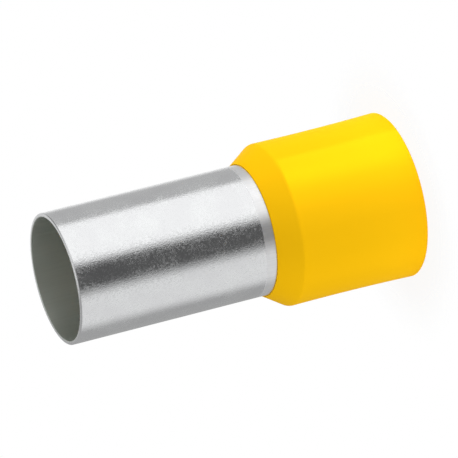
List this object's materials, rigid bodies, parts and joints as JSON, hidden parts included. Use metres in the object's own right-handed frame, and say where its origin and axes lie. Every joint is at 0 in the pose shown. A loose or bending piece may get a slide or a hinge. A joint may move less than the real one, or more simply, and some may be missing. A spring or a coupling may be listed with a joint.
{
  "type": "wire ferrule",
  "caption": "Insulated wire ferrule: a thin tinned copper sleeve whose belled end is held in a conical plastic collar, open all the way through.",
  "frame": {"origin": "on the axis, in the plane of the collar's back rim, where the wire enters", "axes": "+Z along the axis, from the collar's back rim to the open mouth of the metal sleeve; round about Z, so X and Y are free"},
  "size_m": [0.0172, 0.0172, 0.037],
  "materials": {
    "tinned_copper": "satin",
    "yellow_plastic": "satin"
  },
  "bodies": {
    "root": {"metal_sleeve": "tinned_copper", "plastic_collar": "yellow_plastic"}
  },
  "joints": []
}
